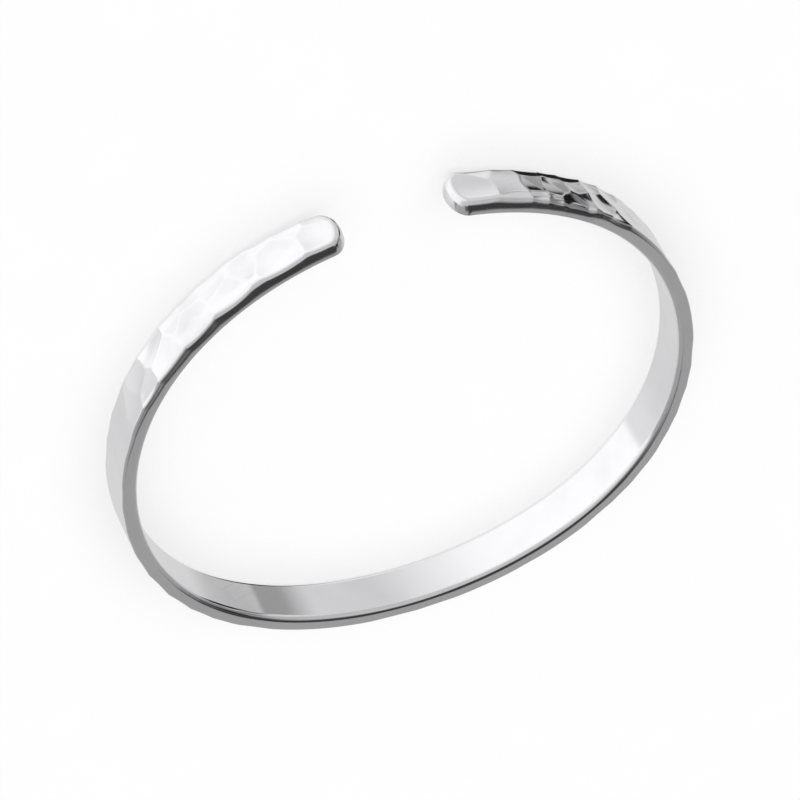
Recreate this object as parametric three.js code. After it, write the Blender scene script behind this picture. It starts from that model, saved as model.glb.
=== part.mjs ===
// An open silver cuff bangle, hammered all over its outer face, lying on its side.
// Millimetres, +Z up. The strip's lower edge rests on z = 0, and the gap between the
// two tips faces -Y. The origin is the middle of the cuff's footprint, at floor level.
import * as THREE from "three";

// The wrist opening is an oval: its distance from the middle to the tangent line in each
// direction is a mean radius plus three small waves round the loop.
const MEAN_RADIUS = 29.0;
const OVAL_WAVE = -1.30;
const FRONT_WAVE = 0.18;
const SHOULDER_WAVE = -0.21;

// The strip that the cuff is bent from.
const STRIP_WIDTH = 5.65;
const STRIP_THICKNESS = 1.8;
const FACE_CROWN = 0.04;

// The tips: where each starts to round off, and how far it bulges on.
const TIP_ANGLE = 0.213;
const TIP_BULGE = 1.55;

// How far each edge of the strip climbs over the last stretch of each arm, so that the arms
// narrow towards the tips and stand clear of the floor there.
const RIGHT_LOW_EDGE = { lift: 1.9, span: 0.6 };
const RIGHT_HIGH_EDGE = { lift: 0.55, span: 1.2 };
const LEFT_LOW_EDGE = { lift: 0.68, span: 1.2 };
const LEFT_HIGH_EDGE = { lift: 0.33, span: 1.2 };

// How the strip's edge is rounded, from the outer face over the side to the inner face. A
// lean is the slope, in degrees, at which a broad crown meets a small corner.
const ARM_EDGE = {
  outerCorner: 0.8,
  outerLean: 17,
  outerCrown: 3.0,
  innerCorner: 0.06,
  innerLean: 3,
  innerCrown: 1.0,
};
const BACK_EDGE = {
  outerCorner: 0.25,
  outerLean: 8,
  outerCrown: 1.0,
  innerCorner: 0.6,
  innerLean: 4,
  innerCrown: 3.0,
};

// The turns from the gap over which each arm's edge changes into the back's edge.
const RIGHT_EDGE_CHANGE = { start: 0.6, stop: 1.45 };
const LEFT_EDGE_CHANGE = { start: 0.2, stop: 1.25 };

// The hammer blows near each tip: shallow round dishes, by their way from the middle of the
// gap along the outer face, their height above the lower edge, and their size. A row gives
// its dish radius only where the dish is shallower than the arms' usual one.
const RIGHT_ARM_BLOWS = [
  { along: 7.3, height: 3.3, size: 2.0 },
  { along: 6.6, height: 0.9, size: 1.4 },
  { along: 11.3, height: 3.7, size: 2.5 },
  { along: 9.6, height: 1.0, size: 1.4 },
  { along: 12.4, height: 0.7, size: 1.2 },
  { along: 14.9, height: 2.3, size: 1.9 },
  { along: 17.2, height: 4.4, size: 2.3 },
  { along: 18.3, height: 1.6, size: 1.8 },
  { along: 22.3, height: 4.1, size: 2.5 },
  { along: 21.8, height: 1.0, size: 1.4 },
  { along: 24.4, height: 1.4, size: 1.5 },
  { along: 27.1, height: 4.5, size: 2.6, dish: 18 },
  { along: 28.6, height: 1.4, size: 2.1, dish: 18 },
  { along: 31.4, height: 4.7, size: 1.9, dish: 13 },
  { along: 32.6, height: 2.2, size: 2.0, dish: 13 },
];
const LEFT_ARM_BLOWS = [
  { along: 7.2, height: 3.2, size: 2.4, dish: 13 },
  { along: 8.4, height: 0.9, size: 1.6, dish: 13 },
  { along: 11.0, height: 2.7, size: 2.2, dish: 24 },
  { along: 11.4, height: -0.3, size: 1.5, dish: 13 },
  { along: 11.3, height: 5.5, size: 1.7, dish: 13 },
  { along: 14.0, height: 2.6, size: 1.6 },
  { along: 14.2, height: 5.2, size: 1.45 },
  { along: 16.4, height: 2.9, size: 1.85 },
  { along: 14.1, height: 0.0, size: 1.9 },
  { along: 16.2, height: 5.6, size: 1.9 },
  { along: 16.6, height: 0.0, size: 1.8 },
  { along: 18.7, height: 5.9, size: 2.7 },
  { along: 18.9, height: 0.0, size: 1.9 },
  { along: 20.1, height: 4.2, size: 1.6 },
  { along: 19.5, height: 2.1, size: 1.4 },
  { along: 20.5, height: 6.1, size: 1.5 },
  { along: 22.9, height: 3.7, size: 1.9 },
  { along: 22.2, height: 1.2, size: 1.3 },
  { along: 24.8, height: 5.7, size: 1.6 },
  { along: 25.2, height: 1.4, size: 1.5 },
  { along: 27.3, height: 3.2, size: 1.9 },
  { along: 29.8, height: 1.8, size: 1.8 },
];
const ARM_DISH_RADIUS = 8.5;

// Between the arms the blows run on in a double row that wanders, and are shallower.
const BLOW_SEED = 29;
const BLOW_STEP = 1.95;
const BLOW_STEP_VARIATION = 0.45;
const BLOW_SPREAD = 0.2;
const BLOW_WANDER = 0.14;
const BLOW_SIZE = 1.7;
const BLOW_SIZE_VARIATION = 0.3;
const BACK_DISH_RADIUS = 22;
const BLOW_OVERLAP = 0.05;

// How finely the faces are cut.
const STATIONS = 168;
const COLUMNS = 10;
const CORNER_STEPS = 2;
const CROWN_STEPS = 1;

const FACE_RADIUS = MEAN_RADIUS + STRIP_THICKNESS;
const FULL_TURN = 2 * Math.PI;

// A repeatable run of numbers from 0 to 1 (the Park-Miller generator).
function makeRandom(seed) {
  let state = seed;
  return () => {
    state = (state * 16807) % 2147483647;
    return state / 2147483647;
  };
}

// The point of the wrist opening's outline that faces the given way, with its outward
// direction. The turn is measured from the middle of the gap towards +X.
function innerOutline(turn) {
  const reach =
    MEAN_RADIUS +
    OVAL_WAVE * Math.cos(2 * turn) +
    FRONT_WAVE * Math.cos(3 * turn) +
    SHOULDER_WAVE * Math.cos(4 * turn);
  const slide =
    -2 * OVAL_WAVE * Math.sin(2 * turn) -
    3 * FRONT_WAVE * Math.sin(3 * turn) -
    4 * SHOULDER_WAVE * Math.sin(4 * turn);
  const outward = new THREE.Vector2(Math.sin(turn), -Math.cos(turn));
  const along = new THREE.Vector2(Math.cos(turn), Math.sin(turn));
  const point = outward.clone().multiplyScalar(reach).addScaledVector(along, slide);
  return { point, outward };
}

// How far one edge has climbed at a turn from the gap.
function edgeLift(edge, turnFromGap) {
  return edge.lift * Math.max(0, 1 - turnFromGap / edge.span) ** 2;
}

// The strip's half width and the height of its middle line at one turn.
function stripBand(turn) {
  const fromLeft = FULL_TURN - turn;
  const low = edgeLift(RIGHT_LOW_EDGE, turn) + edgeLift(LEFT_LOW_EDGE, fromLeft);
  const climb = edgeLift(RIGHT_HIGH_EDGE, turn) + edgeLift(LEFT_HIGH_EDGE, fromLeft);
  const high = STRIP_WIDTH + climb;
  return { halfWidth: (high - low) / 2, middle: (high + low) / 2 };
}

// How far a place is from the arms' edge shape (0) to the back's (1).
function backShare(turn) {
  const right = THREE.MathUtils.smoothstep(turn, RIGHT_EDGE_CHANGE.start, RIGHT_EDGE_CHANGE.stop);
  const fromLeft = FULL_TURN - turn;
  const left = THREE.MathUtils.smoothstep(fromLeft, LEFT_EDGE_CHANGE.start, LEFT_EDGE_CHANGE.stop);
  return right * left;
}

// One edge as rows: how far the outline is drawn in, and the height above the inner face.
function edgeProfile(edge) {
  const rows = [{ inset: 0, lift: STRIP_THICKNESS }];
  const arcTo = (startLean, stopLean, radius, steps) => {
    const { inset, lift } = rows[rows.length - 1];
    const start = THREE.MathUtils.degToRad(startLean);
    const stop = THREE.MathUtils.degToRad(stopLean);
    for (let k = 1; k <= steps; k++) {
      const lean = THREE.MathUtils.lerp(start, stop, k / steps);
      rows.push({
        inset: inset - radius * (Math.cos(lean) - Math.cos(start)),
        lift: lift - radius * (Math.sin(start) - Math.sin(lean)),
      });
    }
  };
  const cornerDrop = edge.innerCorner * (1 - Math.sin(THREE.MathUtils.degToRad(edge.innerLean)));
  const crownDrop = edge.innerCrown * Math.sin(THREE.MathUtils.degToRad(edge.innerLean));
  arcTo(90, edge.outerLean, edge.outerCorner, CORNER_STEPS);
  arcTo(edge.outerLean, 0, edge.outerCrown, CROWN_STEPS);
  rows.push({ inset: rows[rows.length - 1].inset, lift: cornerDrop + crownDrop });
  arcTo(0, -edge.innerLean, edge.innerCrown, CROWN_STEPS);
  arcTo(-edge.innerLean, -90, edge.innerCorner, CORNER_STEPS);
  const flatInset = Math.min(...rows.map((row) => row.inset));
  return rows.map(({ inset, lift }) => ({ inset: inset - flatInset, lift }));
}

const ARM_PROFILE = edgeProfile(ARM_EDGE);
const BACK_PROFILE = edgeProfile(BACK_EDGE);

// The blows: the charted ones on both arms, and a wandering double row between them.
function strikeBlows() {
  const random = makeRandom(BLOW_SEED);
  const vary = (spread) => spread * (2 * random() - 1);
  const wayRound = FULL_TURN * FACE_RADIUS;
  const arm = (blow) => ({ dish: ARM_DISH_RADIUS, ...blow });
  const blows = RIGHT_ARM_BLOWS.map(arm);
  for (const blow of LEFT_ARM_BLOWS) blows.push(arm({ ...blow, along: wayRound - blow.along }));
  const last = wayRound - LEFT_ARM_BLOWS[LEFT_ARM_BLOWS.length - 1].along - BLOW_STEP / 2;
  let along = RIGHT_ARM_BLOWS[RIGHT_ARM_BLOWS.length - 1].along + BLOW_STEP;
  let side = 1;
  while (along < last) {
    const height = STRIP_WIDTH * (0.5 + side * BLOW_SPREAD + vary(BLOW_WANDER));
    const size = BLOW_SIZE * (1 + vary(BLOW_SIZE_VARIATION));
    blows.push({ along, height, size, dish: BACK_DISH_RADIUS });
    along += BLOW_STEP * (1 + vary(BLOW_STEP_VARIATION));
    side = -side;
  }
  return blows;
}

const BLOWS = strikeBlows();

// How far the hammered face lies below the unhammered one.
function hammerDepth(along, height) {
  let surface = 0;
  for (const blow of BLOWS) {
    const away = (along - blow.along) ** 2 + (height - blow.height) ** 2;
    surface = Math.min(surface, (away - blow.size ** 2) / (2 * blow.dish) - BLOW_OVERLAP);
  }
  return -surface;
}

// A point of the strip. Station and column run 0 to 1 along and across it, and row says
// which row of the edge profile the point lies on.
function stripPoint(station, column, row) {
  const cross = -Math.cos(Math.PI * column);
  const share = backShare(THREE.MathUtils.lerp(TIP_ANGLE, FULL_TURN - TIP_ANGLE, station));
  const inset = THREE.MathUtils.lerp(ARM_PROFILE[row].inset, BACK_PROFILE[row].inset, share);
  const lift = THREE.MathUtils.lerp(ARM_PROFILE[row].lift, BACK_PROFILE[row].lift, share);
  const bulge = ((TIP_BULGE - inset) / FACE_RADIUS) * Math.sqrt(1 - cross * cross);
  const start = TIP_ANGLE - bulge;
  const turn = THREE.MathUtils.lerp(start, FULL_TURN - start, station);
  const { halfWidth, middle } = stripBand(turn);
  const up = cross * (halfWidth - inset);
  const hammered = hammerDepth(turn * FACE_RADIUS, STRIP_WIDTH / 2 + up) + FACE_CROWN * cross * cross;
  const { point, outward } = innerOutline(turn);
  point.addScaledVector(outward, lift * (1 - hammered / STRIP_THICKNESS));
  return new THREE.Vector3(point.x, point.y, middle + up);
}

// The stations and columns passed on one walk round the strip's outline.
function outlineWalk() {
  const walk = [];
  for (let i = 0; i < STATIONS; i++) walk.push([i, 0]);
  for (let j = 0; j < COLUMNS; j++) walk.push([STATIONS, j]);
  for (let i = STATIONS; i > 0; i--) walk.push([i, COLUMNS]);
  for (let j = COLUMNS; j > 0; j--) walk.push([0, j]);
  return walk;
}

// The cuff as one closed body: a grid on the outer face, rings of the edge profile round
// the outline, and one line of points along the middle of the smooth inner face.
function cuffGeometry() {
  const positions = [];
  const triangles = [];
  const addPoint = (station, column, row) => {
    const p = stripPoint(station / STATIONS, column / COLUMNS, row);
    positions.push(p.x, p.y, p.z);
    return positions.length / 3 - 1;
  };
  const addQuad = (a, b, c, d) => triangles.push(a, b, c, a, c, d);

  const outer = [];
  for (let i = 0; i <= STATIONS; i++) {
    outer.push([]);
    for (let j = 0; j <= COLUMNS; j++) outer[i].push(addPoint(i, j, 0));
  }
  for (let i = 0; i < STATIONS; i++) {
    for (let j = 0; j < COLUMNS; j++) {
      addQuad(outer[i][j], outer[i + 1][j], outer[i + 1][j + 1], outer[i][j + 1]);
    }
  }

  const walk = outlineWalk();
  let ring = walk.map(([i, j]) => outer[i][j]);
  for (let row = 1; row < ARM_PROFILE.length; row++) {
    const next = walk.map(([i, j]) => addPoint(i, j, row));
    for (let k = 0; k < walk.length; k++) {
      const m = (k + 1) % walk.length;
      addQuad(ring[m], ring[k], next[k], next[m]);
    }
    ring = next;
  }

  const innerRow = ARM_PROFILE.length - 1;
  const rim = new Map(walk.map(([i, j], k) => [i * (COLUMNS + 1) + j, ring[k]]));
  const rimAt = (i, j) => rim.get(i * (COLUMNS + 1) + j);
  const spine = [];
  for (let i = 1; i < STATIONS; i++) spine[i] = addPoint(i, COLUMNS / 2, innerRow);
  for (let i = 1; i < STATIONS - 1; i++) {
    addQuad(rimAt(i, 0), spine[i], spine[i + 1], rimAt(i + 1, 0));
    addQuad(spine[i], rimAt(i, COLUMNS), rimAt(i + 1, COLUMNS), spine[i + 1]);
  }
  for (let j = 0; j < COLUMNS; j++) {
    triangles.push(spine[1], rimAt(0, j), rimAt(0, j + 1));
    triangles.push(spine[STATIONS - 1], rimAt(STATIONS, j + 1), rimAt(STATIONS, j));
  }
  triangles.push(spine[1], rimAt(1, 0), rimAt(0, 0));
  triangles.push(spine[1], rimAt(0, COLUMNS), rimAt(1, COLUMNS));
  triangles.push(spine[STATIONS - 1], rimAt(STATIONS, 0), rimAt(STATIONS - 1, 0));
  triangles.push(spine[STATIONS - 1], rimAt(STATIONS - 1, COLUMNS), rimAt(STATIONS, COLUMNS));

  const geometry = new THREE.BufferGeometry();
  geometry.setAttribute("position", new THREE.Float32BufferAttribute(positions, 3));
  geometry.setIndex(triangles);
  geometry.computeBoundingBox();
  const centre = geometry.boundingBox.getCenter(new THREE.Vector3());
  geometry.translate(-centre.x, -centre.y, -geometry.boundingBox.min.z);
  geometry.computeVertexNormals();
  return geometry;
}

const silver = new THREE.MeshStandardMaterial({ color: 0xd2d2d4, roughness: 0.12, metalness: 1 });

const cuffBand = new THREE.Mesh(cuffGeometry(), silver);
cuffBand.name = "cuff_band";

const cuff = new THREE.Group();
cuff.add(cuffBand);

export default cuff;
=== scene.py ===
"""An open hammered silver cuff bangle, lying on its side on a pale studio floor."""

import logging
import math
from dataclasses import dataclass, field, replace
from enum import Enum

import bpy
import numpy as np
from mathutils import Matrix, Vector


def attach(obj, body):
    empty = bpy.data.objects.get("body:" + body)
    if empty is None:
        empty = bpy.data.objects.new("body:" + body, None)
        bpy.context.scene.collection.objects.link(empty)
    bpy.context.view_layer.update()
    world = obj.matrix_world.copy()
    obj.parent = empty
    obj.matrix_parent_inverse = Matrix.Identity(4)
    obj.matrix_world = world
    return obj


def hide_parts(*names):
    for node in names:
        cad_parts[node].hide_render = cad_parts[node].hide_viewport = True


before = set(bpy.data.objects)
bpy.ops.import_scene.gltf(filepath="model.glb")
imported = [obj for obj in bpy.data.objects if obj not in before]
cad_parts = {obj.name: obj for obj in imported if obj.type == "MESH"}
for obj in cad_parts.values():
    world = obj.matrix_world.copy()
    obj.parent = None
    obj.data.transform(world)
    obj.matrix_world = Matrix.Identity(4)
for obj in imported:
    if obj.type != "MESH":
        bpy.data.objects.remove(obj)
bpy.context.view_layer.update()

LOG = logging.getLogger("cuff")
MM = 0.001
FULL_TURN = 2 * math.pi
WHITE = (1.0, 1.0, 1.0, 1.0)

# The factor and the range of the repeatable random numbers.
DRAW_FACTOR = 16807
DRAW_RANGE = 2147483647

# The numbers of a mix node's colour sockets, which share their names with its other sockets.
MIX_FIRST_COLOUR, MIX_SECOND_COLOUR, MIX_RESULT_COLOUR = 6, 7, 2


class Node(Enum):
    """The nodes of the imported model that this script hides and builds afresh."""

    CUFF_BAND = "cuff_band"


class Mark(Enum):
    """The values that each point of the strip carries for its finish."""

    ALONG = "along"
    ACROSS = "across"
    LIFT = "lift_share"
    HOLLOW = "hollow"


Socket = bpy.types.NodeSocket
Colour = tuple[float, float, float, float]


class NodeBench:
    """Adds the nodes of one material or world, and joins them up."""

    def __init__(self, tree: bpy.types.NodeTree) -> None:
        """Takes the node tree that the bench works on."""
        self.tree = tree

    def add(self, kind: str, **settings: object) -> bpy.types.Node:
        """Adds a node of a kind and sets its properties."""
        node = self.tree.nodes.new(kind)
        for name, value in settings.items():
            setattr(node, name, value)
        return node

    def feed(self, socket: Socket, value: Socket | float) -> None:
        """Joins another node's result to a socket, or sets it to a number."""
        if isinstance(value, (int, float)):
            socket.default_value = value
        else:
            self.tree.links.new(value, socket)

    def maths(self, operation: str, *values: Socket | float) -> Socket:
        """Adds a maths node and returns its result."""
        node = self.add("ShaderNodeMath", operation=operation)
        for socket, value in zip(node.inputs, values):
            self.feed(socket, value)
        return node.outputs[0]

    def total(self, *values: Socket | float) -> Socket:
        """Adds up several values."""
        result = values[0]
        for value in values[1:]:
            result = self.maths("ADD", result, value)
        return result

    def rise(self, value: Socket, start: float, stop: float) -> Socket:
        """Adds a smooth rise from 0 at start to 1 at stop and returns its result."""
        node = self.add("ShaderNodeMapRange", interpolation_type="SMOOTHSTEP")
        self.feed(node.inputs["Value"], value)
        node.inputs["From Min"].default_value = start
        node.inputs["From Max"].default_value = stop
        return node.outputs["Result"]

    def noise(self, place: Socket, scale: float, detail: float) -> Socket:
        """Adds a cloudy noise, from 0 to 1, and returns its value."""
        node = self.add("ShaderNodeTexNoise")
        self.feed(node.inputs["Vector"], place)
        node.inputs["Scale"].default_value = scale
        node.inputs["Detail"].default_value = detail
        return node.outputs["Fac"]

    def point(self, x: Socket | float, y: Socket | float) -> Socket:
        """Joins two values into a place on a flat sheet."""
        node = self.add("ShaderNodeCombineXYZ")
        self.feed(node.inputs["X"], x)
        self.feed(node.inputs["Y"], y)
        return node.outputs["Vector"]

    def attribute(self, name: str) -> Socket:
        """Reads a value that the mesh carries."""
        return self.add("ShaderNodeAttribute", attribute_name=name).outputs["Fac"]

    def blend(self, share: Socket, first: Colour, second: Colour) -> Socket:
        """Mixes two colours by a share from 0 to 1."""
        node = self.add("ShaderNodeMix", data_type="RGBA")
        self.feed(node.inputs["Factor"], share)
        node.inputs[MIX_FIRST_COLOUR].default_value = first
        node.inputs[MIX_SECOND_COLOUR].default_value = second
        return node.outputs[MIX_RESULT_COLOUR]

    def bump(self, height: Socket) -> Socket:
        """Turns a height in metres into a tilted surface direction."""
        node = self.add("ShaderNodeBump")
        node.inputs["Distance"].default_value = 1.0
        self.feed(node.inputs["Height"], height)
        return node.outputs["Normal"]


@dataclass(frozen=True)
class Scratches:
    """One set of fine parallel scratches, left by wear."""

    lean: float
    per_metre_along: float
    per_metre_across: float
    rarity: float
    softness: float = 0.06


@dataclass(frozen=True)
class SilverFinish:
    """Polished silver: burnished inside, planished outside, satin on the narrow sides."""

    bright: Colour = (0.935, 0.932, 0.948, 1.0)
    dulled: Colour = (0.85, 0.845, 0.87, 1.0)
    roughness: float = 0.06
    cloud_roughness: float = 0.05
    side_roughness: float = 0.09
    scratch_roughness: float = 0.1
    line_pitch_along: float = 45.0
    line_pitch_across: float = 6500.0
    line_depth: float = 0.00022 * MM
    side_line_depth: float = 0.0009 * MM
    ripple_pitch: float = 850.0
    ripple_depth: float = 0.0028 * MM
    cloud_pitch: float = 160.0
    outside_from: float = 0.9
    inside_to: float = 0.12
    worn_depth: float = 0.3 * MM
    dull_clouds: tuple[float, float] = (0.35, 0.75)
    ridge_dulling: float = 0.25
    scratch_depth: float = 0.00022 * MM
    scratches: tuple[Scratches, ...] = (
        Scratches(0.35, 90.0, 9000.0, 0.66),
        Scratches(-0.55, 130.0, 8000.0, 0.68),
        Scratches(1.25, 160.0, 7000.0, 0.69),
    )

    def scratch_marks(self, bench: NodeBench, along: Socket, across: Socket) -> Socket:
        """Draws the fine scratches.

        Args:
            bench: The bench of the material.
            along: The way along the strip.
            across: The way across its faces.

        Returns:
            A value that is 1 in a scratch and 0 beside it.
        """
        marks = []
        for scratch in self.scratches:
            c, s = math.cos(scratch.lean), math.sin(scratch.lean)
            run = bench.total(bench.maths("MULTIPLY", along, c), bench.maths("MULTIPLY", across, s))
            off = bench.total(bench.maths("MULTIPLY", along, -s), bench.maths("MULTIPLY", across, c))
            place = bench.point(
                bench.maths("MULTIPLY", run, scratch.per_metre_along),
                bench.maths("MULTIPLY", off, scratch.per_metre_across),
            )
            grain = bench.noise(place, scale=1.0, detail=1.0)
            marks.append(bench.rise(grain, scratch.rarity, scratch.rarity + scratch.softness))
        return bench.maths("MINIMUM", bench.total(*marks), 1.0)

    def build(self) -> bpy.types.Material:
        """Builds the finish.

        Returns:
            The material.
        """
        material = bpy.data.materials.new("polished_silver")
        material.use_nodes = True
        bench = NodeBench(material.node_tree)
        along = bench.attribute(Mark.ALONG.value)
        across = bench.attribute(Mark.ACROSS.value)
        lift = bench.attribute(Mark.LIFT.value)
        hollow = bench.attribute(Mark.HOLLOW.value)
        solid_place = bench.add("ShaderNodeTexCoord").outputs["Object"]

        outside = bench.rise(lift, self.outside_from, 1.0)
        inside = bench.rise(lift, self.inside_to, 0.0)
        faces = bench.total(outside, inside)
        side = bench.maths("SUBTRACT", 1.0, faces)
        line_place = bench.point(
            bench.maths("MULTIPLY", along, self.line_pitch_along),
            bench.maths("MULTIPLY", across, self.line_pitch_across),
        )
        lines = bench.noise(line_place, scale=1.0, detail=2.0)
        ripple = bench.noise(solid_place, self.ripple_pitch, detail=2.0)
        cloud = bench.noise(solid_place, self.cloud_pitch, detail=3.0)
        scratch = self.scratch_marks(bench, along, across)

        line_height = bench.maths(
            "MULTIPLY",
            lines,
            bench.total(
                bench.maths("MULTIPLY", faces, self.line_depth),
                bench.maths("MULTIPLY", side, self.side_line_depth),
            ),
        )
        ripple_height = bench.maths("MULTIPLY", bench.maths("MULTIPLY", ripple, outside), self.ripple_depth)
        scratch_height = bench.maths("MULTIPLY", scratch, -self.scratch_depth)
        height = bench.total(line_height, ripple_height, scratch_height)
        roughness = bench.total(
            bench.maths("MULTIPLY", cloud, self.cloud_roughness),
            bench.maths("MULTIPLY", side, self.side_roughness),
            bench.maths("MULTIPLY", scratch, self.scratch_roughness),
            self.roughness - self.cloud_roughness / 2,
        )
        worn_low = bench.rise(hollow, 0.0, self.worn_depth)
        dulled = bench.maths(
            "MULTIPLY",
            bench.rise(cloud, *self.dull_clouds),
            bench.maths("ADD", worn_low, self.ridge_dulling),
        )

        bsdf = material.node_tree.nodes["Principled BSDF"]
        bench.feed(bsdf.inputs["Base Color"], bench.blend(dulled, self.bright, self.dulled))
        bench.feed(bsdf.inputs["Roughness"], roughness)
        bench.feed(bsdf.inputs["Normal"], bench.bump(height))
        bsdf.inputs["Metallic"].default_value = 1.0
        return material


@dataclass(frozen=True)
class PaperFinish:
    """The white sweep of paper that the cuff lies on, bright enough to lose its far edge."""

    shade: Colour = (0.33, 0.33, 0.33, 1.0)
    light: Colour = (0.35, 0.35, 0.35, 1.0)
    glow: float = 0.62
    mottle_pitch: float = 90.0
    fibre_pitch: float = 2500.0
    fibre_depth: float = 0.02 * MM

    def build(self) -> bpy.types.Material:
        """Builds the finish.

        Returns:
            The material.
        """
        material = bpy.data.materials.new("white_paper")
        material.use_nodes = True
        bench = NodeBench(material.node_tree)
        place = bench.add("ShaderNodeTexCoord").outputs["Object"]
        mottle = bench.noise(place, self.mottle_pitch, detail=4.0)
        fibres = bench.noise(place, self.fibre_pitch, detail=3.0)
        bsdf = material.node_tree.nodes["Principled BSDF"]
        bench.feed(bsdf.inputs["Base Color"], bench.blend(mottle, self.shade, self.light))
        bench.feed(bsdf.inputs["Normal"], bench.bump(bench.maths("MULTIPLY", fibres, self.fibre_depth)))
        bsdf.inputs["Emission Color"].default_value = WHITE
        bsdf.inputs["Emission Strength"].default_value = self.glow
        bsdf.inputs["Roughness"].default_value = 1.0
        bsdf.inputs["Specular IOR Level"].default_value = 0.0
        return material


@dataclass(frozen=True)
class Blow:
    """One hammer blow: a round dish in the outer face."""

    along: float
    height: float
    size: float
    dish: float = 8.5


# The blows near each tip: the way from the middle of the gap along the outer face, the height
# above the lower edge, the radius of the dish's outline and, where the hammer's face was flatter
# than usual, the radius that the dish is rounded to. All are in millimetres.
RIGHT_ARM_BLOWS = (
    Blow(7.3, 3.3, 2.0),
    Blow(6.6, 0.9, 1.4),
    Blow(11.3, 3.7, 2.5),
    Blow(9.6, 1.0, 1.4),
    Blow(12.4, 0.7, 1.2),
    Blow(14.9, 2.3, 1.9),
    Blow(17.2, 4.4, 2.3),
    Blow(18.3, 1.6, 1.8),
    Blow(22.3, 4.1, 2.5),
    Blow(21.8, 1.0, 1.4),
    Blow(24.4, 1.4, 1.5),
    Blow(27.1, 4.5, 2.6, 18.0),
    Blow(28.6, 1.4, 2.1, 18.0),
    Blow(31.4, 4.7, 1.9, 13.0),
    Blow(32.6, 2.2, 2.0, 13.0),
)
LEFT_ARM_BLOWS = (
    Blow(7.2, 3.2, 2.4, 13.0),
    Blow(8.4, 0.9, 1.6, 13.0),
    Blow(11.0, 2.7, 2.2, 24.0),
    Blow(11.4, -0.3, 1.5, 13.0),
    Blow(11.3, 5.5, 1.7, 13.0),
    Blow(14.0, 2.6, 1.6),
    Blow(14.2, 5.2, 1.45),
    Blow(16.4, 2.9, 1.85),
    Blow(14.1, 0.0, 1.9),
    Blow(16.2, 5.6, 1.9),
    Blow(16.6, 0.0, 1.8),
    Blow(18.7, 5.9, 2.7),
    Blow(18.9, 0.0, 1.9),
    Blow(20.1, 4.2, 1.6),
    Blow(19.5, 2.1, 1.4),
    Blow(20.5, 6.1, 1.5),
    Blow(22.9, 3.7, 1.9),
    Blow(22.2, 1.2, 1.3),
    Blow(24.8, 5.7, 1.6),
    Blow(25.2, 1.4, 1.5),
    Blow(27.3, 3.2, 1.9),
    Blow(29.8, 1.8, 1.8),
)


@dataclass
class HammerWork:
    """The run of hammer blows that covers the outer face from tip to tip, in millimetres."""

    seed: int = 29
    overlap: float = 0.05
    step: float = 1.95
    row_spread: float = 0.2
    height_wander: float = 0.14
    size_variation: float = 0.3
    step_variation: float = 0.45
    size: float = 1.7
    dish: float = 22.0
    ridge_softness: float = 0.006
    steepest_exponent: float = 60.0
    blows: list[Blow] = field(default_factory=list)

    def strike(self, way_round: float, width: float) -> None:
        """Lays the blows: the charted ones at both arms, and a wandering double row between.

        Args:
            way_round: The way round the outer face from the middle of the gap and back to it.
            width: The strip's width.
        """
        state = self.seed

        def vary() -> float:
            """Returns the next repeatable number from -1 to 1."""
            nonlocal state
            state = (state * DRAW_FACTOR) % DRAW_RANGE
            return 2 * state / DRAW_RANGE - 1

        self.blows.extend(RIGHT_ARM_BLOWS)
        for blow in LEFT_ARM_BLOWS:
            self.blows.append(replace(blow, along=way_round / MM - blow.along))
        along = RIGHT_ARM_BLOWS[-1].along + self.step
        last = (way_round / MM - LEFT_ARM_BLOWS[-1].along) - self.step / 2
        side = 1
        while along < last:
            height = width / MM * (0.5 + side * self.row_spread + self.height_wander * vary())
            size = self.size * (1 + self.size_variation * vary())
            self.blows.append(Blow(along, height, size, self.dish))
            side = -side
            along += self.step * (1 + self.step_variation * vary())

    def depth_at(self, along: np.ndarray, height: np.ndarray) -> np.ndarray:
        """Works out how far the hammered face lies below the unhammered one.

        Args:
            along: The way of each point round the outer face.
            height: The height of each point above the floor.

        Returns:
            The depth at each point.
        """
        total = np.ones_like(along)
        for blow in self.blows:
            away = (along / MM - blow.along) ** 2 + (height / MM - blow.height) ** 2
            dished = (away - blow.size**2) / (2 * blow.dish) - self.overlap
            exponent = np.clip(
                -dished / self.ridge_softness, -self.steepest_exponent, self.steepest_exponent
            )
            total += np.exp(exponent)
        return self.ridge_softness * np.log(total) * MM


@dataclass(frozen=True)
class EdgeShape:
    """How the strip's edge is rounded, in millimetres and degrees of lean."""

    outer_corner: float
    outer_lean: float
    outer_crown: float
    inner_corner: float
    inner_lean: float
    inner_crown: float

    def profile(self, thickness: float, steps: int) -> np.ndarray:
        """Works out the edge, from the outer face over the side to the inner face.

        Args:
            thickness: The strip's thickness.
            steps: How many steps each of its four arcs is cut into.

        Returns:
            Rows of inset and lift.
        """
        arcs = (
            (90.0, self.outer_lean, self.outer_corner * MM),
            (self.outer_lean, 0.0, self.outer_crown * MM),
            (0.0, -self.inner_lean, self.inner_crown * MM),
            (-self.inner_lean, -90.0, self.inner_corner * MM),
        )
        moves = []
        for start, stop, radius in arcs:
            turns = np.radians(np.linspace(start, stop, steps + 1))
            moves.append(radius * np.stack([-np.diff(np.cos(turns)), -np.diff(np.sin(turns))], axis=1))
        flat = thickness - sum(part[:, 1].sum() for part in moves)
        moves.insert(2, np.array([[0.0, flat]]))
        steps_taken = np.concatenate([[[0.0, 0.0]], *moves])
        inset, drop = np.cumsum(steps_taken, axis=0).T
        return np.stack([inset - inset.min(), thickness - drop], axis=1)


ARM_EDGE = EdgeShape(0.8, 17.0, 3.0, 0.06, 3.0, 1.0)
BACK_EDGE = EdgeShape(0.25, 8.0, 1.0, 0.6, 4.0, 3.0)


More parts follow.
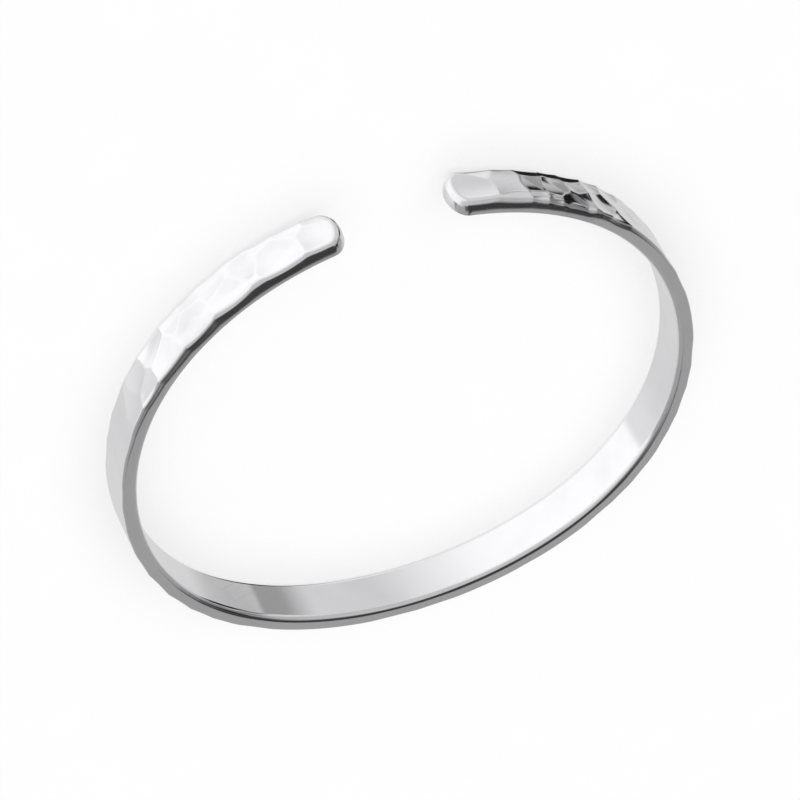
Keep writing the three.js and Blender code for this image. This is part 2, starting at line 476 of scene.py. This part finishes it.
@dataclass(frozen=True)
class EdgeLift:
    """How far one edge of the strip climbs over an arm's last stretch."""

    height: float
    span: float

    def at(self, turn_from_gap: np.ndarray) -> np.ndarray:
        """Returns how far the edge has climbed at each turn."""
        return self.height * np.clip(1 - turn_from_gap / self.span, 0, None) ** 2


@dataclass
class StripPlan:
    """The oval that the strip is bent round, and the strip's own width and arms."""

    mean_radius: float = 29.0 * MM
    oval_wave: float = -1.30 * MM
    front_wave: float = 0.18 * MM
    shoulder_wave: float = -0.21 * MM
    width: float = 5.65 * MM
    thickness: float = 1.8 * MM
    face_crown: float = 0.04 * MM
    tip_angle: float = 0.213
    tip_bulge: float = 1.55 * MM
    right_low_edge: EdgeLift = EdgeLift(1.9 * MM, 0.6)
    right_high_edge: EdgeLift = EdgeLift(0.55 * MM, 1.2)
    left_low_edge: EdgeLift = EdgeLift(0.68 * MM, 1.2)
    left_high_edge: EdgeLift = EdgeLift(0.33 * MM, 1.2)
    right_edge_change: tuple[float, float] = (0.6, 1.45)
    left_edge_change: tuple[float, float] = (0.2, 1.25)

    def back_share(self, turn: np.ndarray) -> np.ndarray:
        """Returns how far each turn is from the arms' edge (0) to the back's edge (1)."""
        shares = []
        changes = (self.right_edge_change, turn), (self.left_edge_change, FULL_TURN - turn)
        for (start, stop), from_gap in changes:
            share = np.clip((from_gap - start) / (stop - start), 0, 1)
            shares.append(share * share * (3 - 2 * share))
        return shares[0] * shares[1]

    @property
    def face_radius(self) -> float:
        """Returns the outer face's mean radius."""
        return self.mean_radius + self.thickness

    def inner_outline(self, turn: np.ndarray) -> tuple[np.ndarray, np.ndarray]:
        """Works out the wrist opening's outline.

        Args:
            turn: The way that each wanted point faces, from the gap towards +X.

        Returns:
            The points, and their outward directions, both as rows of x and y.
        """
        reach = (
            self.mean_radius
            + self.oval_wave * np.cos(2 * turn)
            + self.front_wave * np.cos(3 * turn)
            + self.shoulder_wave * np.cos(4 * turn)
        )
        slide = (
            -2 * self.oval_wave * np.sin(2 * turn)
            - 3 * self.front_wave * np.sin(3 * turn)
            - 4 * self.shoulder_wave * np.sin(4 * turn)
        )
        outward = np.stack([np.sin(turn), -np.cos(turn)], axis=-1)
        along = np.stack([np.cos(turn), np.sin(turn)], axis=-1)
        return reach[..., None] * outward + slide[..., None] * along, outward

    def band(self, turn: np.ndarray) -> tuple[np.ndarray, np.ndarray]:
        """Works out the strip's half width and the height of its middle line.

        Args:
            turn: The turn of each point.

        Returns:
            The half widths and the middle heights.
        """
        from_left = FULL_TURN - turn
        low = self.right_low_edge.at(turn) + self.left_low_edge.at(from_left)
        high = self.width + self.right_high_edge.at(turn) + self.left_high_edge.at(from_left)
        return (high - low) / 2, (high + low) / 2


@dataclass
class CuffBand:
    """The bangle itself: one hammered strip bent into an open oval."""

    plan: StripPlan = field(default_factory=StripPlan)
    hammer: HammerWork = field(default_factory=HammerWork)
    finish: SilverFinish = SilverFinish()
    stations: int = 1000
    columns: int = 26
    round_steps: int = 5

    def strip_points(self, station: np.ndarray, column: np.ndarray, ring: int) -> np.ndarray:
        """Places points of the strip.

        Args:
            station: How far along the strip each point is, from 0 to 1.
            column: How far across it, from 0 to 1.
            ring: Which row of the edge profile the points lie on.

        Returns:
            Rows of x, y and z, and then one value for each mark.
        """
        plan = self.plan
        cross = -np.cos(np.pi * column)
        open_turn = FULL_TURN - 2 * plan.tip_angle
        share = plan.back_share(plan.tip_angle + open_turn * station)
        inset, lift = self.ring_at(ring, share)
        bulge = (plan.tip_bulge - inset) / plan.face_radius * np.sqrt(np.clip(1 - cross**2, 0, 1))
        start = plan.tip_angle - bulge
        turn = start + (FULL_TURN - 2 * start) * station
        half_width, middle = plan.band(turn)
        height = middle + cross * (half_width - inset)
        points, outward = plan.inner_outline(turn)
        along = turn * plan.face_radius
        hollow = self.hammer.depth_at(along, height - middle + plan.width / 2)
        raised = lift * (1 - (hollow + plan.face_crown * cross**2) / plan.thickness)
        points = points + raised[..., None] * outward
        marks = np.stack([height, along, height - lift, lift / plan.thickness, hollow], axis=-1)
        return np.concatenate([points, marks], axis=-1)

    def ring_at(self, ring: int, share: np.ndarray) -> tuple[np.ndarray, np.ndarray]:
        """Returns the inset and the lift of one row of the edge profile at each share of the back."""
        arm = ARM_EDGE.profile(self.plan.thickness, self.round_steps)[ring]
        back = BACK_EDGE.profile(self.plan.thickness, self.round_steps)[ring]
        return arm[0] + (back[0] - arm[0]) * share, arm[1] + (back[1] - arm[1]) * share

    def edge_walk(self) -> np.ndarray:
        """Returns the station and column numbers of one walk round a face's edge."""
        n, m = self.stations, self.columns
        return np.array(
            [(k, 0) for k in range(n)]
            + [(n, k) for k in range(m)]
            + [(k, m) for k in range(n, 0, -1)]
            + [(0, k) for k in range(m, 0, -1)]
        )

    def build_mesh(self) -> bpy.types.Mesh:
        """Builds the strip as one closed mesh.

        Returns:
            The mesh, centred on its own footprint with its lowest point at z = 0.
        """
        n, m = self.stations, self.columns
        i, j = np.meshgrid(np.arange(n + 1), np.arange(m + 1), indexing="ij")
        rings = len(ARM_EDGE.profile(self.plan.thickness, self.round_steps))
        walk = self.edge_walk()
        row_length = 3 + len(Mark)
        blocks = [self.strip_points(i / n, j / m, 0).reshape(-1, row_length)]
        outer = np.arange((n + 1) * (m + 1)).reshape(n + 1, m + 1)
        quads = [self.grid_quads(outer)]
        ring = outer[walk[:, 0], walk[:, 1]]
        count = outer.size
        for row in range(1, rings):
            blocks.append(self.strip_points(walk[:, 0] / n, walk[:, 1] / m, row))
            following = np.arange(count, count + len(walk))
            count += len(walk)
            after = np.roll(ring, -1)
            quads.append(np.stack([after, ring, following, np.roll(following, -1)], axis=1))
            ring = following
        inner = np.full((n + 1, m + 1), -1)
        inner[walk[:, 0], walk[:, 1]] = ring
        inside = self.strip_points(i[1:-1, 1:-1] / n, j[1:-1, 1:-1] / m, rings - 1)
        inner[1:-1, 1:-1] = np.arange(count, count + (n - 1) * (m - 1)).reshape(n - 1, m - 1)
        blocks.append(inside.reshape(-1, row_length))
        quads.append(self.grid_quads(inner)[:, ::-1])
        points, marks = np.split(np.concatenate(blocks), [3], axis=1)
        low, high = points.min(axis=0), points.max(axis=0)
        points -= [(low[0] + high[0]) / 2, (low[1] + high[1]) / 2, low[2]]
        mesh = bpy.data.meshes.new("hammered_strip")
        mesh.from_pydata(points.tolist(), [], np.concatenate(quads).tolist())
        for mark, values in zip(Mark, marks.T):
            attribute = mesh.attributes.new(mark.value, "FLOAT", "POINT")
            attribute.data.foreach_set("value", np.ascontiguousarray(values, dtype=np.float32))
        mesh.update()
        mesh.shade_smooth()
        return mesh

    @staticmethod
    def grid_quads(grid: np.ndarray) -> np.ndarray:
        """Returns the quads of a grid of point numbers."""
        corners = [grid[:-1, :-1], grid[1:, :-1], grid[1:, 1:], grid[:-1, 1:]]
        return np.stack([c.ravel() for c in corners], axis=1)

    def build(self) -> bpy.types.Object:
        """Builds the strip, hangs it on the frame and dresses it.

        Returns:
            The finished piece.
        """
        plan = self.plan
        self.hammer.strike(FULL_TURN * plan.face_radius, plan.width)
        piece = bpy.data.objects.new("hammered_strip", self.build_mesh())
        bpy.context.scene.collection.objects.link(piece)
        piece.data.materials.append(self.finish.build())
        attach(piece, "root")
        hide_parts(Node.CUFF_BAND.value)
        return piece


@dataclass
class Camera:
    """The camera, given by where it stands round the cuff, how it is rolled and its long lens."""

    azimuth: float = math.radians(17.34)
    elevation: float = math.radians(41.849)
    roll: float = math.radians(151.538)
    distance: float = 0.471968
    lens_mm: float = 202.5
    slide_right: float = 0.00067
    slide_up: float = -0.001247
    sensor_mm: float = 36.0
    nearest: float = 0.01
    farthest: float = 50.0

    def build(self) -> None:
        """Places the camera and makes it the scene's own."""
        a, e, r = self.azimuth, self.elevation, self.roll
        back = Vector((math.sin(a) * math.cos(e), -math.cos(a) * math.cos(e), math.sin(e)))
        level = Vector((math.cos(a), math.sin(a), 0))
        upright = back.cross(level)
        right = math.cos(r) * level + math.sin(r) * upright
        up = -math.sin(r) * level + math.cos(r) * upright
        data = bpy.data.cameras.new("camera")
        data.lens = self.lens_mm
        data.sensor_width = self.sensor_mm
        data.clip_start = self.nearest
        data.clip_end = self.farthest
        camera = bpy.data.objects.new("camera", data)
        place = Matrix((right, up, back)).transposed().to_4x4()
        place.translation = self.distance * back + self.slide_right * right + self.slide_up * up
        camera.matrix_world = place
        bpy.context.scene.collection.objects.link(camera)
        bpy.context.scene.camera = camera


@dataclass(frozen=True)
class TentPanel:
    """One soft-edged panel of the light tent, as the cuff sees it all round."""

    name: str
    azimuth: tuple[float, float]
    elevation: tuple[float, float]
    azimuth_edge: tuple[float, float]
    elevation_edge: tuple[float, float]
    tone: float


# Angles in degrees: azimuth from the gap's side (-Y) towards +X, elevation up from the floor. An
# edge is soft by its own angle to either side, and a later panel covers the earlier ones.
TENT_WALL_TONE = 0.36
TENT_PANELS = (
    TentPanel("side_wall", (92, 300), (-62, -8), (3, 40), (20, 24), 0.69),
    TentPanel("wall_edge", (88, 112), (-62, -8), (1, 14), (20, 24), 0.8),
    TentPanel("bottom_sheet", (-20, 245), (-95, -58), (40, 30), (4, 12), 0.98),
    TentPanel("floor_corner", (-72, -15), (-95, -66), (4, 10), (2, 6), 0.8),
    TentPanel("front_sheet", (-22, 92), (-95, 10), (44, 3), (4, 50), 1.06),
    TentPanel("front_wall", (-65, -30), (-50, 5), (6, 14), (6, 25), 0.67),
    TentPanel("front_foot", (-66, 0), (-70, -45), (8, 20), (8, 6), 0.84),
    TentPanel("right_foot", (40, 106), (-95, -48), (20, 5), (8, 3), 1.0),
    TentPanel("near_floor", (-30, 110), (-95, -62), (20, 20), (4, 8), 0.84),
    TentPanel("right_head", (40, 90), (-36, 20), (20, 4), (2, 30), 1.0),
    TentPanel("roof", (-181, 181), (60, 95), (0.5, 0.5), (8, 4), 0.045),
    TentPanel("front_top", (-62, 80), (20, 71), (24, 30), (20, 8), 0.56),
    TentPanel("far_corner", (-110, -75), (-47, -38), (10, 2), (4, 3), 0.53),
    TentPanel("shaded_side", (-70, -58), (-41.5, -36), (4, 8), (0.8, 3), 0.33),
    TentPanel("shaded_corner", (-76, -64.5), (-60, -36), (1.5, 3.5), (8, 3), 0.33),
    TentPanel("shaded_foot", (-103, -76), (-62, -45), (4, 4), (6, 4), 0.33),
    TentPanel("dark_foot", (-125, -78), (-59, -48), (5, 3), (1.5, 1.5), 0.015),
    TentPanel("side_top", (75, 140), (50, 66), (8, 10), (6, 5), 0.12),
    TentPanel("seam_foot", (212, 246), (42.5, 52), (5, 8), (1.5, 6), 0.04),
    TentPanel("roof_seam", (172, 262), (48, 69), (10, 5), (3.5, 7), 0.04),
    TentPanel("low_opening", (-99, -80), (-39, -28), (4, 3), (2, 3), 0.02),
    TentPanel("opening_frame", (-92, -66), (-31, 28), (4, 3), (4, 6), 0.22),
    TentPanel("middle_opening", (-96, -79), (-34, -12), (4, 3), (4, 6), 0.01),
    TentPanel("high_opening", (-112, -80), (27, 54), (8, 5), (5, 6), 0.015),
)


@dataclass
class Studio:
    """The pale floor and the soft light round it."""

    floor_half: float = 3.0
    lamp_power: float = 24.5
    lamp_width: float = 3.0
    lamp_height: float = 1.0
    paper: PaperFinish = PaperFinish()

    def build_floor(self) -> None:
        """Builds the floor."""
        h = self.floor_half
        mesh = bpy.data.meshes.new("floor")
        mesh.from_pydata([(-h, -h, 0), (h, -h, 0), (h, h, 0), (-h, h, 0)], [], [(0, 1, 2, 3)])
        floor = bpy.data.objects.new("floor", mesh)
        bpy.context.scene.collection.objects.link(floor)
        floor.visible_glossy = False
        mesh.materials.append(self.paper.build())

    @staticmethod
    def panel_mask(bench: NodeBench, panel: TentPanel, azimuth: Socket, elevation: Socket) -> Socket:
        """Works out where one panel of the tent covers the view.

        Args:
            bench: The bench of the world.
            panel: The panel.
            azimuth: The azimuth that is looked at, in degrees.
            elevation: The elevation that is looked at, in degrees.

        Returns:
            A value that is 1 on the panel and 0 beside it.
        """
        middle = sum(panel.azimuth) / 2
        half = (panel.azimuth[1] - panel.azimuth[0]) / 2
        around = bench.maths("WRAP", bench.maths("SUBTRACT", azimuth, middle), 180.0, -180.0)
        first, second = panel.azimuth_edge
        low, high = panel.elevation
        below, above = panel.elevation_edge
        sides = (
            bench.rise(around, -half - first, -half + first),
            bench.rise(around, half + second, half - second),
            bench.rise(elevation, low - below, low + below),
            bench.rise(elevation, high + above, high - above),
        )
        mask = sides[0]
        for side in sides[1:]:
            mask = bench.maths("MULTIPLY", mask, side)
        return mask

    def hang_tent(self) -> None:
        """Paints the light tent as the world, panel over panel."""
        world = bpy.data.worlds.new("light_tent")
        bpy.context.scene.world = world
        world.use_nodes = True
        bench = NodeBench(world.node_tree)
        split = bench.add("ShaderNodeSeparateXYZ")
        bench.feed(split.inputs[0], bench.add("ShaderNodeTexCoord").outputs["Generated"])
        minus_y = bench.maths("MULTIPLY", split.outputs["Y"], -1.0)
        azimuth = bench.maths("DEGREES", bench.maths("ARCTAN2", split.outputs["X"], minus_y))
        elevation = bench.maths("DEGREES", bench.maths("ARCSINE", split.outputs["Z"]))
        tone = TENT_WALL_TONE
        for panel in TENT_PANELS:
            mask = self.panel_mask(bench, panel, azimuth, elevation)
            change = bench.maths("MULTIPLY", bench.maths("SUBTRACT", panel.tone, tone), mask)
            tone = bench.maths("ADD", tone, change)
        background = world.node_tree.nodes["Background"]
        bench.feed(background.inputs["Color"], tone)
        background.inputs["Strength"].default_value = 1.0

    def hang_lamp(self) -> None:
        """Hangs the wide soft lamp that lights the floor."""
        data = bpy.data.lights.new("soft_lamp", "AREA")
        data.shape = "DISK"
        data.size = self.lamp_width
        data.energy = self.lamp_power
        lamp = bpy.data.objects.new("soft_lamp", data)
        lamp.location = (0.0, 0.0, self.lamp_height)
        lamp.visible_glossy = False
        lamp.visible_camera = False
        bpy.context.scene.collection.objects.link(lamp)


def main() -> None:
    """Builds the cuff, the camera and the studio."""
    logging.basicConfig(level=logging.INFO)
    band = CuffBand().build()
    LOG.info("built %s with %d faces", band.name, len(band.data.polygons))
    Camera().build()
    studio = Studio()
    studio.build_floor()
    studio.hang_tent()
    studio.hang_lamp()
    bpy.context.scene.view_settings.view_transform = "Standard"


if __name__ == "__main__":
    main()
